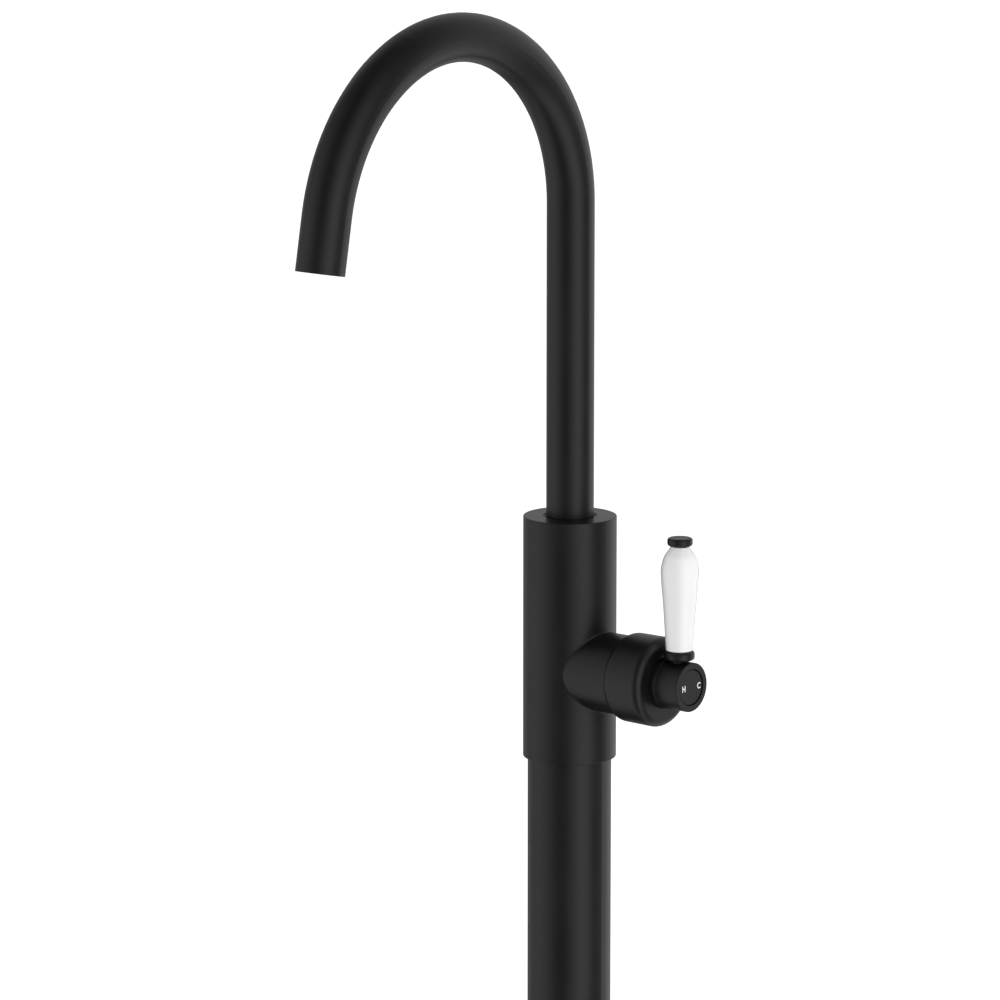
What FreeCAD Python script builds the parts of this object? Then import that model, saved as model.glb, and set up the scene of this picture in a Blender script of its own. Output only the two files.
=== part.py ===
import FreeCAD, Part
import math
import os

import Sketcher

# Floor standing bath filler: a column on a floor plate, a mixer body with a side lever valve,
# and a swivelling swan-neck spout.
# Frame: millimetres, +Z up, origin at the centre of the floor plate's underside on the column's axis.
# The spout points to -Y and the valve to +X. Hot is on the -Y side and cold on the +Y side.

SIZES = {
    # clearances
    "seat_gap": 0.05,
    "run_gap": 0.08,
    "slide_gap": 0.15,
    "free_gap": 0.3,
    "spigot_gap": 0.1,
    # how far a cutting tool passes the face it cuts
    "overrun": 1.0,
    # floor plate
    "plate_radius": 55.0,
    "plate_thickness": 8.0,
    "boss_wall": 5.45,
    "column_socket_depth": 8.0,
    "spigot_length": 30.0,
    "bolt_edge_distance": 13.0,
    "bolt_hole_radius": 4.5,
    "inlet_offset": 14.0,
    "inlet_radius": 9.3,
    "inlet_depth": 15.0,
    "inlet_roof": 1.0,
    "screw_radius": 2.5,
    # floor cover
    "cover_overhang": 5.0,
    "cover_headroom": 3.0,
    "cover_wall": 1.5,
    "cover_edge_radius": 8.0,
    "cover_collar_wall": 2.6,
    "cover_collar_height": 4.2,
    "grip_ring_cord": 0.9,
    # column
    "column_radius": 22.5,
    "column_wall": 1.5,
    "column_length": 602.7,
    # supply hoses inside the column
    "hose_offset": 9.5,
    "hose_radius": 6.0,
    "hose_bore_radius": 4.2,
    "ferrule_wall": 0.7,
    "ferrule_length": 14.0,
    "union_stub_radius": 4.95,
    "union_stub_length": 8.0,
    "union_bore_radius": 3.0,
    "union_hex_radius": 6.9,
    "union_hex_length": 4.0,
    "union_seal_length": 1.0,
    "union_seal_wall": 1.0,
    "union_hole_gap": 1.0,
    "waterway_radius": 4.0,
    # mixer body
    "sleeve_step": 2.5,
    "sleeve_length": 131.3,
    "sleeve_edge_radius": 0.4,
    "valve_drop": 82.0,
    "neck_reach": 41.0,
    "neck_fillet": 1.2,
    "neck_thread_wall": 2.2,
    "neck_thread_gap": 1.5,
    "lock_screw_drop": 15.0,
    "lock_screw_length": 5.0,
    # valve chamber and its ports
    "chamber_depth": 21.0,
    "inlet_port_side": 6.8,
    "inlet_port_rise": 5.0,
    "inlet_port_radius": 2.4,
    "outlet_port_drop": 3.0,
    "outlet_port_radius": 3.2,
    "outlet_way_margin": 0.95,
    "outlet_way_radius": 4.5,
    "way_end_depth": 0.8,
    "peg_radius": 1.5,
    "peg_length": 2.0,
    "peg_inset": 3.9,
    # cartridge
    "cartridge_radius": 15.9,
    "cartridge_wall": 1.5,
    "base_thickness": 6.7,
    "port_seal_wall": 1.5,
    "port_seal_thickness": 1.4,
    "disc_thickness": 4.0,
    "fixed_disc_gap": 0.4,
    "moving_disc_gap": 0.7,
    "disc_pocket_wall": 1.0,
    "disc_pocket_height": 11.0,
    "disc_pocket_depth": 2.0,
    "carrier_thickness": 4.9,
    "carrier_half_width": 9.0,
    "carrier_engagement": 3.7,
    "rotor_flange_thickness": 5.7,
    "rotor_flange_gap": 0.2,
    "snout_radius": 9.0,
    "snout_lead": 2.6,
    "housing_top_thickness": 3.7,
    "stem_width": 7.0,
    "stem_square_back": 5.5,
    "stem_arm_radius": 2.4,
    "stem_ball_radius": 2.8,
    "stem_ball_depth": 1.55,
    "stem_inset": 4.6,
    "pivot_lead": 15.9,
    "pivot_pin_radius": 1.5,
    "tilt_range": 12.0,
    # cartridge nut and bonnet
    "nut_lip_thickness": 3.0,
    "nut_lip_gap": 3.0,
    "nut_wall": 3.2,
    "nut_notch_width": 4.0,
    "nut_notch_depth": 2.0,
    "bonnet_washer_thickness": 1.0,
    "bonnet_rear_wall": 2.5,
    "bonnet_rear_land": 0.1,
    "bonnet_rear_length": 4.3,
    "bonnet_flare": 0.15,
    "bonnet_front_edge": 4.2,
    "bonnet_front_wall": 2.0,
    "bonnet_mouth_gap": 0.15,
    # lever hub and index disc
    "hub_radius": 13.2,
    "hub_reach": 17.5,
    "hub_ball_margin": 2.0,
    "hub_edge_radius": 0.5,
    "hub_hollow_gap": 1.3,
    "hub_hollow_end_gap": 2.3,
    "hub_rim": 3.35,
    "index_recess_depth": 2.1,
    "index_gap": 0.6,
    "index_disc_thickness": 1.6,
    "hot_letter_offset": 6.0,
    "cold_letter_offset": 6.9,
    "letter_height": 3.3,
    "letter_width": 2.5,
    "letter_stroke": 0.55,
    "letter_opening": 1.8,
    "letter_relief": 0.12,
    "hub_screw_radius": 2.0,
    "hub_screw_inset": 3.7,
    # lever
    "lever_inset": 8.35,
    "stud_radius": 2.5,
    "stud_lift": 1.5,
    "stud_engagement": 2.2,
    "collar_seat_depth": 1.15,
    "collar_neck_wall": 1.6,
    "collar_lift": 0.8,
    "collar_thickness": 4.65,
    "collar_radius": 8.15,
    "collar_edge_radius": 1.4,
    "grip_washer_thickness": 0.4,
    "grip_washer_radius": 4.4,
    "grip_bore_gap": 0.4,
    "grip_foot_radius": 7.1,
    "grip_flare_height": 36.65,
    "grip_flare_radius": 9.75,
    "grip_flare_curve": 1200.0,
    "grip_belly_rise": 5.5,
    "grip_belly_radius": 10.12,
    "grip_belly_curve": 41.0,
    "grip_shoulder_height": 13.5,
    "grip_shoulder_curve": 19.0,
    "grip_head_radius": 4.9,
    "cap_thickness": 4.3,
    "cap_radius": 6.7,
    "cap_lower_edge": 1.5,
    "cap_upper_edge": 1.2,
    # spout
    "spout_radius": 12.75,
    "spout_wall": 1.25,
    "socket_depth": 13.0,
    "bush_wall": 1.45,
    "bush_recess": 0.4,
    "tail_insertion": 20.0,
    "tail_wall": 3.45,
    "tail_end_gap": 1.0,
    "ring_cord_radius": 0.8,
    "ring_land": 6.5,
    "ring_pitch": 7.0,
    "ring_lead": 11.5,
    "stop_slot_rise": 8.0,
    "stop_slot_gap": 0.2,
    "stop_slot_depth": 1.6,
    "stop_point_radius": 1.5,
    "stop_screw_recess": 1.0,
    "swivel_range": 60.0,
    "riser_length": 168.2,
    "first_bend_radius": 95.1,
    "first_bend_turn": 112.0,
    "second_bend_radius": 100.8,
    "second_bend_turn": 57.4,
    "outlet_length": 29.1,
    # aerator in the spout's end
    "aerator_recess": 0.4,
    "aerator_length": 11.0,
    "aerator_wall": 1.8,
    "aerator_lip": 0.8,
    "aerator_insert_thickness": 7.0,
    "aerator_hole_radius": 0.9,
    "aerator_ring_pitch": 3.4,
    "aerator_washer_thickness": 1.2,
}
BOLT_COUNT = 4
FIRST_BOLT_ANGLE = 45.0
FOOT_SCREW_COUNT = 3
FIRST_FOOT_SCREW_ANGLE = 90.0
NUT_NOTCH_PAIRS = 4
HOLES_PER_RING = 6
AERATOR_RINGS = 2

doc = FreeCAD.newDocument("bath_filler")
sheet = doc.addObject("Spreadsheet::Sheet", "Sizes")


class Size:
    """A length or angle, with the expression that ties it to the sheet."""

    def __init__(self, value, text):
        self.value = value
        self.text = text

    def __add__(self, other):
        other = as_size(other)
        return Size(self.value + other.value, f"({self.text} + {other.text})")

    def __sub__(self, other):
        other = as_size(other)
        return Size(self.value - other.value, f"({self.text} - {other.text})")

    def __mul__(self, other):
        other = as_size(other)
        return Size(self.value * other.value, f"({self.text} * {other.text})")

    def __truediv__(self, other):
        other = as_size(other)
        return Size(self.value / other.value, f"({self.text} / {other.text})")

    def __radd__(self, other):
        return as_size(other) + self

    def __rsub__(self, other):
        return as_size(other) - self

    def __neg__(self):
        return as_size(0) - self


def as_size(number):
    """The Size of a plain number, or the Size itself."""
    if isinstance(number, Size):
        return number
    return Size(float(number), f"{float(number):.9f}")


def sine(angle):
    """Sine of an angle in degrees."""
    return Size(math.sin(math.radians(angle.value)), f"sin({angle.text})")


def cosine(angle):
    """Cosine of an angle in degrees."""
    return Size(math.cos(math.radians(angle.value)), f"cos({angle.text})")


class Driving:
    """The sheet's cells as attributes."""


dim = Driving()
for row, (alias, number) in enumerate(SIZES.items(), start=1):
    sheet.set(f"A{row}", alias)
    sheet.set(f"B{row}", str(number))
    sheet.setAlias(f"B{row}", alias)
    setattr(dim, alias, Size(number, f"Sizes.{alias}"))
doc.recompute()

# Which way a primitive's own +Z points once it is placed.
DIRECTIONS = {
    "+Z": FreeCAD.Rotation(),
    "-Z": FreeCAD.Rotation(FreeCAD.Vector(1, 0, 0), 180),
    "+X": FreeCAD.Rotation(FreeCAD.Vector(0, 1, 0), 90),
    "+Y": FreeCAD.Rotation(FreeCAD.Vector(1, 0, 0), -90),
    "-Y": FreeCAD.Rotation(FreeCAD.Vector(1, 0, 0), 90),
}
ORIGIN = (0, 0, 0)
ON_AXIS = 1e-9
EDGE_TOLERANCE = 0.01
EDGE_SAMPLES = 9
subparts = []


def bind(item, property_name, size):
    """Tie one property to the sheet."""
    item.setExpression(property_name, as_size(size).text)


def place(item, at, along="+Z"):
    """Put an item at a point that follows the sheet, with its +Z along a direction."""
    base = FreeCAD.Vector(*[as_size(value).value for value in at])
    item.Placement = FreeCAD.Placement(base, DIRECTIONS[along])
    for axis_name, value in zip("xyz", at):
        bind(item, f"Placement.Base.{axis_name}", value)


def cylinder(radius, length, at=ORIGIN, along="+Z"):
    """A round bar that starts at a point and runs along a direction."""
    item = doc.addObject("Part::Cylinder", "Bar")
    bind(item, "Radius", radius)
    bind(item, "Height", length)
    place(item, at, along)
    return item


def block(low, high):
    """A box between two corners."""
    item = doc.addObject("Part::Box", "Block")
    for name, start, end in zip(("Length", "Width", "Height"), low, high):
        bind(item, name, as_size(end) - start)
    place(item, low)
    return item


def torus(ring_radius, cord_radius, at):
    """A level ring of round cord."""
    item = doc.addObject("Part::Torus", "Cord")
    bind(item, "Radius1", ring_radius)
    bind(item, "Radius2", cord_radius)
    place(item, at)
    return item


def fuse(items):
    """One solid, or several separate ones, from a list."""
    if len(items) == 1:
        return items[0]
    item = doc.addObject("Part::MultiFuse", "Joined")
    item.Shapes = items
    return item


def cut(base, tools):
    """The base with the tools taken away."""
    item = doc.addObject("Part::Cut", "Machined")
    item.Base = base
    item.Tool = fuse(tools)
    return item


def common(first, second):
    """What two items share."""
    item = doc.addObject("Part::Common", "Shared")
    item.Base = first
    item.Tool = second
    return item


def group(items):
    """Identical separate pieces kept together."""
    item = doc.addObject("Part::Compound", "Set")
    item.Links = items
    return item


def keep(label, item):
    """Name a finished sub-part, which is then written to its own file."""
    item.Label = label
    subparts.append(item)
    return item


def origin_plane(body, role):
    """One of a body's own origin planes."""
    return next(feature for feature in body.Origin.OriginFeatures if feature.Role == role)


def new_sketch(body, role):
    """An empty sketch on one of the body's origin planes."""
    sketch = body.newObject("Sketcher::SketchObject", "Outline")
    sketch.AttachmentSupport = [(origin_plane(body, role), "")]
    sketch.MapMode = "FlatFace"
    return sketch


def tie_point(sketch, edge, end, across, up):
    """Hold one end of an edge at coordinates that follow the sheet."""
    for kind, size, other_axis in (("DistanceX", as_size(across), -2), ("DistanceY", as_size(up), -1)):
        if abs(size.value) < ON_AXIS:
            sketch.addConstraint(Sketcher.Constraint("PointOnObject", edge, end, other_axis))
            continue
        index = sketch.addConstraint(Sketcher.Constraint(kind, -1, 1, edge, end, size.value))
        bind(sketch, f"Constraints[{index}]", size)


def arc_between(start, end, radius, turn):
    """The short arc from start to end; turn is 1 for anticlockwise and -1 for clockwise."""
    chord = end - start
    half = chord.Length / 2
    rise = math.sqrt(max(radius * radius - half * half, 0.0))
    left = FreeCAD.Vector(-chord.y, chord.x, 0).normalize()
    centre = start + chord * 0.5 + left * (rise * turn)
    first, last = (start, end) if turn > 0 else (end, start)
    first_angle = math.atan2(first.y - centre.y, first.x - centre.x)
    last_angle = math.atan2(last.y - centre.y, last.x - centre.x)
    circle = Part.Circle(centre, FreeCAD.Vector(0, 0, 1), radius)
    return Part.ArcOfCircle(circle, first_angle, last_angle)


def draw(sketch, points, closed=True):
    """Draw lines and arcs through points. A point is (across, up) for a line that ends there, or
    (across, up, radius, turn) for an arc that ends there."""
    places = [FreeCAD.Vector(as_size(point[0]).value, as_size(point[1]).value, 0) for point in points]
    count = len(points)
    edges = []
    for index in range(count if closed else count - 1):
        start, end, target = places[index], places[(index + 1) % count], points[(index + 1) % count]
        if len(target) == 2:
            edge = sketch.addGeometry(Part.LineSegment(start, end), False)
            edges.append((edge, 1, 2))
            continue
        radius, turn = as_size(target[2]), target[3]
        edge = sketch.addGeometry(arc_between(start, end, radius.value, turn), False)
        edges.append((edge, 1, 2) if turn > 0 else (edge, 2, 1))
        constraint = sketch.addConstraint(Sketcher.Constraint("Radius", edge, radius.value))
        bind(sketch, f"Constraints[{constraint}]", radius)
    for index, (edge, start_end, far_end) in enumerate(edges):
        tie_point(sketch, edge, start_end, points[index][0], points[index][1])
        if index + 1 < len(edges) or closed:
            following, following_start, _ = edges[(index + 1) % len(edges)]
            sketch.addConstraint(Sketcher.Constraint("Coincident", edge, far_end, following, following_start))
        else:
            tie_point(sketch, edge, far_end, points[-1][0], points[-1][1])


def sketch_circle(sketch, radius):
    """A circle drawn at the sketch's origin, with its radius tied to the sheet."""
    circle = sketch.addGeometry(Part.Circle(FreeCAD.Vector(), FreeCAD.Vector(0, 0, 1), radius.value), False)
    index = sketch.addConstraint(Sketcher.Constraint("Radius", circle, radius.value))
    bind(sketch, f"Constraints[{index}]", radius)
    return circle


def turned(outline, at=ORIGIN, along="+Z"):
    """A body turned about its own +Z from an outline of (radius, height) points."""
    body = doc.addObject("PartDesign::Body", "Turned")
    sketch = new_sketch(body, "XZ_Plane")
    draw(sketch, outline)
    turning = body.newObject("PartDesign::Revolution", "Turning")
    turning.Profile = sketch
    turning.ReferenceAxis = (sketch, ["V_Axis"])
    turning.Angle = 360
    place(body, at, along)
    return body


def tube(inner, outer, low, high):
    """Outline of a plain ring or bush."""
    return [(inner, low), (outer, low), (outer, high), (inner, high)]


def around(count, offset=0.0):
    """Evenly spaced directions about +Z, as (x, y) unit pairs."""
    angles = [math.radians(offset + 360.0 * index / count) for index in range(count)]
    return [(math.cos(angle), math.sin(angle)) for angle in angles]


# ---------------------------------------------------------------- column and foot: shared sizes
SIDES = {"hot": -1, "cold": 1}

column_foot = dim.inlet_depth + dim.inlet_roof
column_socket_radius = dim.column_radius + dim.seat_gap
boss_radius = column_socket_radius + dim.boss_wall
boss_top = column_foot + dim.column_socket_depth
foot_screw_height = column_foot + dim.column_socket_depth / 2
spigot_top = column_foot + dim.spigot_length
spigot_radius = dim.column_radius - dim.column_wall - dim.spigot_gap
sleeve_bottom = column_foot + dim.column_length
sleeve_top = sleeve_bottom + dim.sleeve_length
sleeve_radius = dim.column_radius + dim.sleeve_step
upper_spigot_bottom = sleeve_bottom - dim.spigot_length
union_hole_depth = dim.union_stub_length + dim.union_hole_gap
union_hole_radius = dim.union_stub_radius + dim.seat_gap
screw_hole_radius = dim.screw_radius + dim.seat_gap

# ---------------------------------------------------------------- spout socket: shared sizes
socket_radius = dim.spout_radius + dim.run_gap + dim.bush_wall + dim.seat_gap
socket_floor = sleeve_top - dim.socket_depth
tail_radius = dim.spout_radius - dim.spout_wall - dim.seat_gap
tail_bore_radius = tail_radius - dim.tail_wall
tail_hole_radius = tail_radius + dim.run_gap
upper_ring_height = socket_floor - dim.ring_land
lower_ring_height = upper_ring_height - dim.ring_pitch
stop_height = lower_ring_height - dim.ring_lead
stop_slot_width = (dim.stop_point_radius + dim.stop_slot_gap) * 2
tail_bottom = stop_height - dim.stop_slot_rise
tail_hole_floor = tail_bottom - dim.tail_end_gap
spout_foot = socket_floor + dim.seat_gap * 2

# ---------------------------------------------------------------- valve, along its axis: shared sizes
valve_height = sleeve_top - dim.valve_drop
VALVE_AXIS = (0, 0, valve_height)
inlet_port_height = valve_height + dim.inlet_port_rise
outlet_port_height = valve_height - dim.outlet_port_drop
chamber_floor = dim.neck_reach - dim.chamber_depth
base_rear = chamber_floor + dim.free_gap
base_front = base_rear + dim.base_thickness
fixed_disc_front = base_front + dim.disc_thickness
moving_disc_rear = fixed_disc_front + dim.seat_gap
moving_disc_front = moving_disc_rear + dim.disc_thickness
carrier_front = moving_disc_front + dim.carrier_thickness
flange_rear = carrier_front + dim.free_gap
flange_front = flange_rear + dim.rotor_flange_thickness
channel_rear = carrier_front - dim.carrier_engagement
housing_ceiling = flange_front + dim.free_gap
housing_front = housing_ceiling + dim.housing_top_thickness
lip_rear = housing_front + dim.seat_gap
neck_thread_reach = lip_rear - dim.neck_thread_gap
pivot_reach = housing_front + dim.pivot_lead
ball_reach = carrier_front - dim.stem_ball_depth
snout_front = pivot_reach + dim.snout_lead
bonnet_front = pivot_reach
hub_ball_angle = dim.tilt_range + dim.hub_ball_margin
hub_ball_radius = dim.hub_radius / cosine(hub_ball_angle)
hub_rear = pivot_reach - hub_ball_radius * sine(hub_ball_angle)
hub_ball_front = pivot_reach + hub_ball_radius * sine(hub_ball_angle)
hub_front = pivot_reach + dim.hub_reach
hub_hollow_floor = snout_front + dim.hub_hollow_end_gap
stem_reach = hub_front - dim.stem_inset
lever_reach = hub_front - dim.lever_inset

chamber_radius = dim.cartridge_radius + dim.seat_gap * 2
neck_thread_radius = chamber_radius + dim.neck_thread_wall
neck_radius = neck_thread_radius + dim.nut_wall
peg_offset = dim.cartridge_radius - dim.peg_inset
housing_bore = dim.cartridge_radius - dim.cartridge_wall
rotor_radius = housing_bore - dim.rotor_flange_gap
disc_travel = (pivot_reach - ball_reach) * sine(dim.tilt_range)
disc_drop = disc_travel / 2
moving_disc_radius = housing_bore - disc_drop - dim.moving_disc_gap
nut_lip_radius = dim.snout_radius + dim.nut_lip_gap
hub_hollow_radius = dim.snout_radius + dim.hub_hollow_gap

# ---------------------------------------------------------------- lever: shared sizes
LEVER_AXIS = (lever_reach, 0, valve_height)
stud_bottom = dim.stem_width / 2 + dim.stud_lift
collar_seat = dim.hub_radius - dim.collar_seat_depth
collar_neck_radius = dim.stud_radius + dim.collar_neck_wall
collar_bottom = dim.hub_radius + dim.collar_lift
collar_top = collar_bottom + dim.collar_thickness
grip_foot = collar_top + dim.grip_washer_thickness
grip_flare_top = grip_foot + dim.grip_flare_height
grip_belly = grip_flare_top + dim.grip_belly_rise
grip_top = grip_belly + dim.grip_shoulder_height
cap_bottom = grip_top + dim.grip_washer_thickness
stud_top = cap_bottom + dim.stud_engagement

# ---------------------------------------------------------------- spout's line: shared points
bend_start = sleeve_top + dim.riser_length
total_turn = dim.first_bend_turn + dim.second_bend_turn
first_end = (-dim.first_bend_radius * (1 - cosine(dim.first_bend_turn)),
             bend_start + dim.first_bend_radius * sine(dim.first_bend_turn))
second_end = (first_end[0] - dim.second_bend_radius * (cosine(dim.first_bend_turn) - cosine(total_turn)),
              first_end[1] + dim.second_bend_radius * (sine(total_turn) - sine(dim.first_bend_turn)))
spout_tip = (second_end[0] - dim.outlet_length * sine(total_turn),
             second_end[1] + dim.outlet_length * cosine(total_turn))


# ---------------------------------------------------------------- floor plate, cover and column
def make_floor_plate():
    """Bolted plate with the two inlet sockets, and the socket and spigot that hold the column."""
    bolt_circle_radius = dim.plate_radius - dim.bolt_edge_distance
    plate = turned([
        (0, 0),
        (dim.plate_radius, 0),
        (dim.plate_radius, dim.plate_thickness),
        (boss_radius, dim.plate_thickness),
        (boss_radius, boss_top),
        (column_socket_radius, boss_top),
        (column_socket_radius, column_foot),
        (spigot_radius, column_foot),
        (spigot_radius, spigot_top),
        (0, spigot_top),
    ])
    tools = []
    for across, along in around(BOLT_COUNT, FIRST_BOLT_ANGLE):
        at = (bolt_circle_radius * across, bolt_circle_radius * along, -dim.overrun)
        tools.append(cylinder(dim.bolt_hole_radius, dim.plate_thickness + dim.overrun * 2, at))
    way_start = dim.inlet_depth - dim.overrun
    union_hole_start = spigot_top - union_hole_depth
    union_hole_length = union_hole_depth + dim.overrun
    way_length = union_hole_start + dim.overrun - way_start
    for side in SIDES.values():
        inlet_at = (0, dim.inlet_offset * side, -dim.overrun)
        across = dim.hose_offset * side
        tools.append(cylinder(dim.inlet_radius, dim.inlet_depth + dim.overrun, inlet_at))
        tools.append(cylinder(dim.waterway_radius, way_length, (0, across, way_start)))
        tools.append(cylinder(union_hole_radius, union_hole_length, (0, across, union_hole_start)))
    tools += foot_screw_bars(screw_hole_radius, boss_radius + dim.overrun)
    keep("floor_plate", cut(plate, tools))


def foot_screw_bars(radius, reach):
    """Radial bars through the boss's wall, from the column outwards."""
    bars = []
    start = column_socket_radius
    for across, along in around(FOOT_SCREW_COUNT, FIRST_FOOT_SCREW_ANGLE):
        bar = cylinder(radius, reach - start, (start * across, start * along, foot_screw_height))
        outward = FreeCAD.Rotation(FreeCAD.Vector(0, 0, 1), FreeCAD.Vector(across, along, 0))
        bar.Placement = FreeCAD.Placement(bar.Placement.Base, outward)
        bars.append(bar)
    return bars


def make_floor_cover():
    """Round cover over the plate, with a collar that holds a rubber ring against the column."""
    radius = dim.plate_radius + dim.cover_overhang
    height = boss_top + dim.cover_headroom
    edge = dim.cover_edge_radius
    bore = dim.column_radius + dim.free_gap
    collar = bore + dim.cover_collar_wall
    collar_height = height + dim.cover_collar_height
    inner_edge = edge - dim.cover_wall
    inner_radius = radius - dim.cover_wall
    inner_height = height - dim.cover_wall
    groove_radius = dim.column_radius + dim.grip_ring_cord * 2 + dim.seat_gap * 2
    groove_middle = height + dim.cover_collar_height / 2
    groove_low = groove_middle - dim.grip_ring_cord - dim.seat_gap
    groove_high = groove_middle + dim.grip_ring_cord + dim.seat_gap
    keep("floor_cover", turned([
        (inner_radius, 0),
        (radius, 0),
        (radius, height - edge),
        (radius - edge, height, edge, 1),
        (collar, height),
        (collar, collar_height),
        (bore, collar_height),
        (bore, groove_high),
        (groove_radius, groove_high),
        (groove_radius, groove_low),
        (bore, groove_low),
        (bore, inner_height),
        (inner_radius - inner_edge, inner_height),
        (inner_radius, inner_height - inner_edge, inner_edge, -1),
    ]))
    ring_radius = dim.column_radius + dim.grip_ring_cord + dim.seat_gap
    keep("cover_grip_ring", torus(ring_radius, dim.grip_ring_cord, (0, 0, groove_middle)))


def lock_screw_bar(radius, extra_length):
    """The lock screw at the back of the column, or the hole that takes it."""
    start = dim.column_radius - dim.lock_screw_length
    at = (0, start, sleeve_bottom - dim.lock_screw_drop)
    return cylinder(radius, dim.lock_screw_length + extra_length, at, "+Y")


def make_column():
    """Column tube, its foot screws and the screw that locks the mixer body to it."""
    top_gap = dim.seat_gap * 2
    bore = dim.column_radius - dim.column_wall
    shell = turned(tube(bore, dim.column_radius, column_foot + dim.seat_gap, sleeve_bottom - top_gap))
    keep("column_tube", cut(shell, [lock_screw_bar(screw_hole_radius, dim.overrun)]))
    keep("column_lock_screw", lock_screw_bar(dim.screw_radius, -dim.seat_gap))
    keep("column_foot_screws", group(foot_screw_bars(dim.screw_radius, boss_radius - dim.seat_gap)))


# ---------------------------------------------------------------- supply hoses inside the column
def make_union(side, face, along):
    """Threaded stub, hexagon and hose barb, standing on a spigot's face."""
    turn = 1 if along == "+Z" else -1
    seat = face + dim.union_seal_length * turn
    at = (0, dim.hose_offset * side, seat)
    hexagon = doc.addObject("Part::Prism", "Hexagon")
    hexagon.Polygon = 6
    bind(hexagon, "Circumradius", dim.union_hex_radius)
    bind(hexagon, "Height", dim.union_hex_length)
    place(hexagon, at, along)
    stub_start = (0, dim.hose_offset * side, seat - (dim.union_stub_length + dim.union_seal_length) * turn)
    stub_length = dim.union_stub_length + dim.union_seal_length + dim.union_hex_length / 2
    stub = cylinder(dim.union_stub_radius, stub_length, stub_start, along)
    barb_length = dim.union_hex_length + dim.ferrule_length
    barb = cylinder(dim.hose_bore_radius - dim.seat_gap, barb_length, at, along)
    bore_length = barb_length + dim.union_stub_length + dim.union_seal_length
    bore = cylinder(dim.union_bore_radius, bore_length, stub_start, along)
    return cut(fuse([hexagon, stub, barb]), [bore])


def make_supply():
    """Two hoses with crimped ferrules, unions and face seals."""
    unions = []
    ferrules = []
    seals = []
    end_stack = dim.union_seal_length + dim.union_hex_length + dim.seat_gap
    hose_low = spigot_top + end_stack
    hose_high = upper_spigot_bottom - end_stack
    ferrule_inner = dim.hose_radius + dim.seat_gap
    ferrule_outer = ferrule_inner + dim.ferrule_wall
    seal_outer = union_hole_radius + dim.union_seal_wall
    for name, side in SIDES.items():
        across = dim.hose_offset * side
        hose = turned(tube(dim.hose_bore_radius, dim.hose_radius, hose_low, hose_high), (0, across, 0))
        keep(f"{name}_supply_hose", hose)
        for face, along, turn in ((spigot_top, "+Z", 1), (upper_spigot_bottom, "-Z", -1)):
            unions.append(make_union(side, face, along))
            start = (0, across, face + end_stack * turn)
            ferrules.append(turned(tube(ferrule_inner, ferrule_outer, 0, dim.ferrule_length), start, along))
            seal = tube(union_hole_radius, seal_outer, 0, dim.union_seal_length)
            seals.append(turned(seal, (0, across, face), along))
    keep("hose_unions", group(unions))
    keep("hose_ferrules", group(ferrules))
    keep("union_seals", group(seals))


# ---------------------------------------------------------------- mixer body
def neck_edges(shape):
    """Names of the edges where the neck leaves the sleeve."""
    names = []
    for index, edge in enumerate(shape.Edges, start=1):
        points = edge.discretize(Number=EDGE_SAMPLES)
        off_sleeve = max(abs(math.hypot(p.x, p.y) - sleeve_radius.value) for p in points)
        off_neck = max(abs(math.hypot(p.y, p.z - valve_height.value) - neck_radius.value) for p in points)
        if max(off_sleeve, off_neck) < EDGE_TOLERANCE:
            names.append(f"Edge{index}")
    return names


def add_round_pad(body, radius, length):
    """A round boss about the valve's axis, from the column's axis outwards."""
    sketch = new_sketch(body, "YZ_Plane")
    circle = sketch_circle(sketch, radius)
    tie_point(sketch, circle, 3, 0, valve_height)
    pad = body.newObject("PartDesign::Pad", "Boss")
    pad.Profile = sketch
    bind(pad, "Length", length)
    doc.recompute()
    return pad


def body_casting():
    """Sleeve, lower spigot and side neck, before any hole."""
    edge = dim.sleeve_edge_radius
    body = turned([
        (0, upper_spigot_bottom),
        (spigot_radius, upper_spigot_bottom),
        (spigot_radius, sleeve_bottom),
        (sleeve_radius - edge, sleeve_bottom),
        (sleeve_radius, sleeve_bottom + edge, edge, 1),
        (sleeve_radius, sleeve_top - edge),
        (sleeve_radius - edge, sleeve_top, edge, 1),
        (0, sleeve_top),
    ])
    pad = add_round_pad(body, neck_radius, dim.neck_reach)
    fillet = body.newObject("PartDesign::Fillet", "NeckFillet")
    fillet.Base = (pad, neck_edges(pad.Shape))
    bind(fillet, "Radius", dim.neck_fillet)
    add_round_pad(body, neck_thread_radius, neck_thread_reach)
    return body


def spout_socket_tools():
    """Bush seat, tail hole and the stop screw's hole at the back."""
    screw_start = tail_radius - dim.overrun
    screw_hole_length = sleeve_radius + dim.overrun - screw_start
    return [
        cylinder(socket_radius, dim.socket_depth + dim.overrun, (0, 0, socket_floor)),
        cylinder(tail_hole_radius, socket_floor + dim.overrun - tail_hole_floor, (0, 0, tail_hole_floor)),
        cylinder(screw_hole_radius, screw_hole_length, (0, screw_start, stop_height), "+Y"),
    ]


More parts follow.
